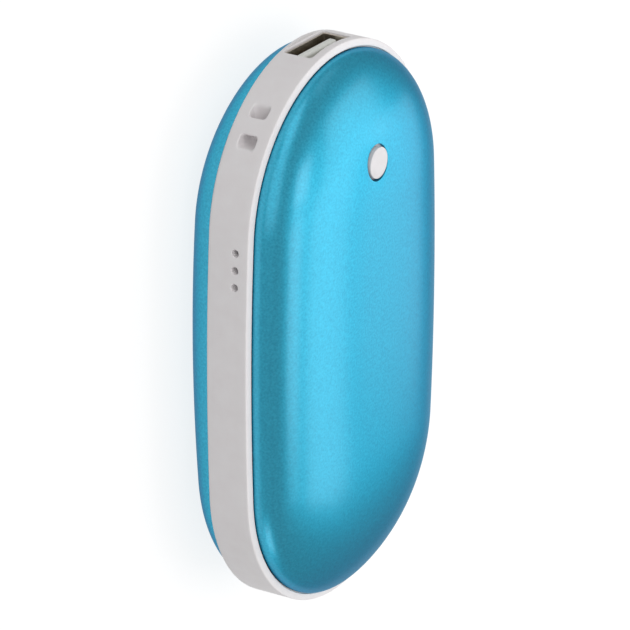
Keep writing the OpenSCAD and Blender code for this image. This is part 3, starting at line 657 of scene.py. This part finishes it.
# Power button: a moulded cap with a softly rounded edge, a flange and a stem
button = {
    "y": 32.2,
    "capRadius": 2.86,
    "capTop": 13.03,         # heights are above the band's middle
    "capCrown": 0.12,
    "edgeRounding": 0.08,
    "flangeRadius": 4.15,
    "flangeTop": 11.75,
    "flangeBottom": 10.95,
    "stemRadius": 1.3,
    "stemBottom": 6.65,
    "edgeSteps": 10,
    "crownSteps": 12,
}


def revolve(name, profile, centre, steps=96):
    # Each (radius, height) of the profile goes round the vertical axis through the centre
    turns = np.linspace(0, 2 * math.pi, steps, endpoint=False)
    profile = np.asarray(profile)
    grid = np.stack([centre[0] + profile[:, :1] * np.cos(turns), centre[1] + profile[:, :1] * np.sin(turns),
                     np.repeat(profile[:, 1:] + centre[2], steps, axis=1)], axis=-1)
    return gridPiece(name, grid)


def buildButton(b):
    # The cap's edge is a quarter circle, and its top is the parabola edge + crown * (1 - share^2)
    edge = b["capTop"] - b["capCrown"]
    turns = np.linspace(0, math.pi / 2, b["edgeSteps"])
    radii = b["capRadius"] - b["edgeRounding"] * (1 - np.cos(turns))
    heights = edge - b["edgeRounding"] * (1 - np.sin(turns))
    shares = np.linspace(1, 0, b["crownSteps"])[1:]
    crown = np.stack([radii[-1] * shares, edge + b["capCrown"] * (1 - shares ** 2)], axis=1)
    lower = [(0, b["stemBottom"]), (b["stemRadius"], b["stemBottom"]), (b["stemRadius"], b["flangeBottom"]),
             (b["flangeRadius"], b["flangeBottom"]), (b["flangeRadius"], b["flangeTop"]),
             (b["capRadius"], b["flangeTop"])]
    profile = np.concatenate([lower, np.stack([radii, heights], axis=1), crown])
    return revolve("buttonCap", profile, (0, b["y"], body["middle"]))


dress(buildButton(button), "button", "button_plastic", "power_button")
print("button built")


# USB-A socket: drawn steel shell with spring tabs, and the pale tongue that carries the contacts
usbSocket = {
    "shellHalf": (6.55, 2.85),
    "shellCorner": 0.5,
    "shellWall": 0.3,
    "mouthY": 51.5,
    "backY": 37.8,
    "springX": 3.1,
    "springWidth": 1.9,
    "springLength": 3.6,
    "springY": 45.06,        # the springs' middle
    "slit": 0.35,
    "slitReach": 1.0,        # how far the slits' cutters stand out above and below
    "tongueHalf": (5.5, 0.85),
    "tongueZ": -0.15,
    "tongueCorner": 0.55,
    "tongueRounding": 0.42,
    "tongueTipY": 51.15,
    "blockDepth": 4.1,       # the block at the tongue's foot, which fills the shell
    "blockGap": 0.05,
    "blockCorner": 0.2,
}


def loopsAlongY(name, half, corner, steps, closeRows, z=0):
    # Rounded rectangles across Y: each step is (y, how far the loop is grown). The ends are closed, unless
    # the last loop joins the first one
    rows = []
    for y, extra in steps:
        across, up = roundedLoop(half, corner, extra)
        rows.append((across, y, up + body["middle"] + z))
    if not closeRows:
        rows = [(0, steps[0][0], body["middle"] + z)] + rows + [(0, steps[-1][0], body["middle"] + z)]
    return gridPiece(name, stackRows(rows), closeRows=closeRows)


def lipSteps(y, radius, start, count=7):
    # A quarter circle over an edge: (y - radius + radius sin turn, start - radius (1 - cos turn))
    turns = np.linspace(0, math.pi / 2, count)
    return [(y - radius + radius * math.sin(t), start - radius * (1 - math.cos(t))) for t in turns]


def boxPiece(name, low, high):
    # A plain box: its four corners in plan, lofted from its low to its high end
    x, y = np.array([low[0], high[0], high[0], low[0]]), np.array([low[1], low[1], high[1], high[1]])
    middle = ((low[0] + high[0]) / 2, (low[1] + high[1]) / 2)
    rows = [(*middle, low[2]), (x, y, low[2]), (x, y, high[2]), (*middle, high[2])]
    return gridPiece(name, stackRows(rows))


def buildUsbShell(u):
    # A tube with a rounded mouth, in which three slits each free a spring above and below
    wall = u["shellWall"]
    outside = [(u["backY"], 0)] + lipSteps(u["mouthY"], wall / 2, 0)
    inside = [(y, -wall - extra) for y, extra in lipSteps(u["mouthY"], wall / 2, 0)[::-1]]
    steps = outside + inside[1:] + [(u["backY"], -wall)]
    piece = loopsAlongY("usbSocketShell", u["shellHalf"], u["shellCorner"], steps, True)
    tall, slit = u["shellHalf"][1] + u["slitReach"], u["slit"]
    first, last = u["springY"] - u["springLength"] / 2, u["springY"] + u["springLength"] / 2
    for x in (-u["springX"], u["springX"]):
        left, right = x - u["springWidth"] / 2, x + u["springWidth"] / 2
        cuts = [((edge - slit / 2, first), (edge + slit / 2, last)) for edge in (left, right)]
        cuts.append(((left, last - slit), (right, last)))
        for low, high in cuts:
            cutter = boxPiece("slitCutter", (*low, body["middle"] - tall), (*high, body["middle"] + tall))
            applyCut(piece, cutter)
    return piece


def buildUsbTongue(u):
    tip = lipSteps(u["tongueTipY"], u["tongueRounding"], 0)
    piece = loopsAlongY("usbTongue", u["tongueHalf"], u["tongueCorner"], [(u["backY"], 0)] + tip, False,
                        u["tongueZ"])
    half = [v - u["shellWall"] - u["blockGap"] for v in u["shellHalf"]]
    ends = [(u["backY"], 0), (u["backY"] + u["blockDepth"], 0)]
    applyCut(piece, loopsAlongY("usbBlock", half, u["blockCorner"], ends, False), "UNION")
    return piece


dress(buildUsbShell(usbSocket), "case", "socket_metal", "usb_a_shell")
dress(buildUsbTongue(usbSocket), "case", "usb_tongue_plastic", "usb_a_tongue")
print("USB socket built")


# Film heaters glued under the domes, and the foam pads that press them there
softStack = {
    "heaterHalf": (9.5, 27),
    "heaterMiddle": -3,
    "heaterCorner": 3,
    "heaterDepth": 0.93,     # from the shell's outside to the film, with the glue
    "heaterThickness": 0.25,
    "padHalf": (13, 17),
    "padMiddle": -11,
    "padCorner": 3,
    "frontPadFoot": 5.5,     # the pads' flat feet, from the band's middle
    "backPadFoot": 7.05,
    "sheetRings": 16,
}


def sheetPiece(name, s, kind, side, outer, inner):
    # Rings of a rounded rectangle shrink to its middle on both faces. Each face is a function that gives
    # the heights, from the band's middle, at the rings' points
    shares = np.linspace(0, 1, s["sheetRings"])
    across, along = roundedLoop(s[kind + "Half"], s[kind + "Corner"], 0)
    x, y = shares[:, None] * across, s[kind + "Middle"] + shares[:, None] * along
    faces = [np.stack([x, y, body["middle"] + side * face(x, y)], axis=-1) for face in (outer, inner)]
    return gridPiece(name, np.concatenate([faces[0], faces[1][::-1]]))


def buildStack(name, s, side, dome, foot):
    # The film follows the dome at both depths, and the pad fills the space between it and a flat foot
    def underDome(depth):
        return lambda x, y: dome["seam"] + domeHeight(depthInside(x, y), y, depth, dome)

    filmFoot = s["heaterDepth"] + s["heaterThickness"]
    heater = sheetPiece(name + "Heater", s, "heater", side, underDome(s["heaterDepth"]), underDome(filmFoot))
    pad = sheetPiece(name + "FoamPad", s, "pad", side, underDome(filmFoot),
                     lambda x, y: np.full(x.shape, foot))
    dress(heater, "case", "heater_film", name + "_heater")
    dress(pad, "case", "pad_foam", name + "_foam_pad")


buildStack("front", softStack, 1, frontDome, softStack["frontPadFoot"])
buildStack("back", softStack, -1, backDome, softStack["backPadFoot"])
print("heaters and pads built")


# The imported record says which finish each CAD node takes
for part in frame["record"]["subparts"]:
    holder = frame["nodes"][part["node"]]
    for place in holder.material_slots:
        place.material = slotMaterials[part["material_slot"]]
print("finishes on the inner parts")


# A plain white floor: the extra glow is only what the camera and mirror-like rays see
floor = {"halfSize": 2500.0, "shade": "#8c8c8c", "roughness": 0.9, "glow": 0.8}


def buildFloor(f):
    s = f["halfSize"]
    rows = np.array([[(-s, -s, 0), (s, -s, 0)], [(-s, s, 0), (s, s, 0)]], float)
    piece = gridPiece("floorPlane", rows, closeColumns=False)
    material = bpy.data.materials.new("whiteFloor")
    material.use_nodes = True
    tree = material.node_tree
    shader = tree.nodes["Principled BSDF"]
    shader.inputs["Base Color"].default_value = linear(f["shade"])
    shader.inputs["Roughness"].default_value = f["roughness"]
    shader.inputs["Specular IOR Level"].default_value = 0.0
    rays = addNode(tree, "ShaderNodeLightPath", {})
    mirror = addNode(tree, "ShaderNodeMath", {"operation": "MAXIMUM"},
                     {0: rays.outputs["Is Glossy Ray"], 1: rays.outputs["Is Transmission Ray"]})
    seen = addNode(tree, "ShaderNodeMath", {"operation": "MAXIMUM"},
                   {0: rays.outputs["Is Camera Ray"], 1: mirror.outputs["Value"]})
    glow = addNode(tree, "ShaderNodeMath", {"operation": "MULTIPLY", 1: f["glow"]},
                   {0: seen.outputs["Value"]})
    shader.inputs["Emission Color"].default_value = (1, 1, 1, 1)
    tree.links.new(glow.outputs["Value"], shader.inputs["Emission Strength"])
    piece.data.materials.append(material)


buildFloor(floor)


# Soft studio light: each softbox has its turn from +X, its lift above the horizon, how far away it is, its
# size, and its power in watts
lights = {
    "world": 0.57,
    "softboxes": {
        "wideLeft": {"turn": 158, "lift": 34, "away": 1600, "size": 1500, "power": 5.0},
        "lowBack": {"turn": 108, "lift": 24, "away": 1500, "size": 1000, "power": 3.0},
        "lowFront": {"turn": 240, "lift": 12, "away": 900, "size": 340, "power": 0.58},
        "farBack": {"turn": 60, "lift": 28, "away": 900, "size": 340, "power": 0.14},
        "highFront": {"turn": 315, "lift": 68, "away": 900, "size": 340, "power": 0.15},
        "ridge": {"turn": 297, "lift": 69, "away": 900, "size": 240, "power": 0.32},
        "ridgeTop": {"turn": 5, "lift": 78, "away": 900, "size": 240, "power": 0.5},
        "rightFace": {"turn": 5, "lift": 46, "away": 900, "size": 400, "power": 0.8},
        "rightFront": {"turn": 330, "lift": 48, "away": 900, "size": 340, "power": 0.66},
        "rightLow": {"turn": 345, "lift": 25, "away": 900, "size": 340, "power": 0.54},
    },
}


def aimed(position, target, upHint):
    # Rotation whose -Z looks from position to target
    back = (position - target).normalized()
    right = upHint.cross(back).normalized()
    return Matrix((right, back.cross(right), back)).transposed().to_4x4()


def buildLights(l):
    world = bpy.data.worlds.new("softWorld")
    bpy.context.scene.world = world
    world.use_nodes = True
    background = world.node_tree.nodes["Background"]
    background.inputs["Color"].default_value = (1, 1, 1, 1)
    background.inputs["Strength"].default_value = l["world"]
    target = Vector((0, 0, body["middle"] * mm))
    upHint = Vector((0, 1, 0.01))
    for name, box in l["softboxes"].items():
        lamp = bpy.data.lights.new(name, "AREA")
        lamp.size, lamp.energy = box["size"] * mm, box["power"]
        holder = bpy.data.objects.new(name, lamp)
        turn, lift = math.radians(box["turn"]), math.radians(box["lift"])
        towards = Vector((math.cos(lift) * math.cos(turn), math.cos(lift) * math.sin(turn), math.sin(lift)))
        position = target + towards * box["away"] * mm
        holder.matrix_world = Matrix.Translation(position) @ aimed(position, target, upHint)
        bpy.context.scene.collection.objects.link(holder)


buildLights(lights)


# The photograph's view: the camera looks at the middle from the left and above, and the body's length
# stands upright. Turn, lift and roll are in degrees, and the slides are in pixels of the photograph
view = {
    "turn": 57.89,
    "lift": 22.61,
    "roll": 0.33,
    "distance": 1017.4,
    "lens": 325.7,
    "sensor": 36.0,
    "slideX": 0.86,
    "slideY": 2.13,
    "framePixels": 630,
    "clipNear": 10.0,
    "clipFar": 20000.0,
}


def buildCamera(v):
    turn, lift, roll = (math.radians(v[key]) for key in ("turn", "lift", "roll"))
    back = Vector((-math.sin(turn) * math.cos(lift), math.sin(lift), math.cos(turn) * math.cos(lift)))
    right = (-back).cross(Vector((0, 1, 0))).normalized()
    up = right.cross(-back)
    rolledRight = right * math.cos(roll) + up * math.sin(roll)
    rolledUp = up * math.cos(roll) - right * math.sin(roll)
    camera = bpy.data.cameras.new("photoCamera")
    camera.lens, camera.sensor_width = v["lens"], v["sensor"]
    camera.shift_x, camera.shift_y = -v["slideX"] / v["framePixels"], v["slideY"] / v["framePixels"]
    camera.clip_start, camera.clip_end = v["clipNear"] * mm, v["clipFar"] * mm
    holder = bpy.data.objects.new("photoCamera", camera)
    place = Vector((0, 0, body["middle"] * mm)) + back * v["distance"] * mm
    turned = Matrix((rolledRight, rolledUp, back)).transposed().to_4x4()
    holder.matrix_world = Matrix.Translation(place) @ turned
    bpy.context.scene.collection.objects.link(holder)
    bpy.context.scene.camera = holder


buildCamera(view)
bpy.context.scene.view_settings.view_transform = "Standard"
print("floor, light and camera set")
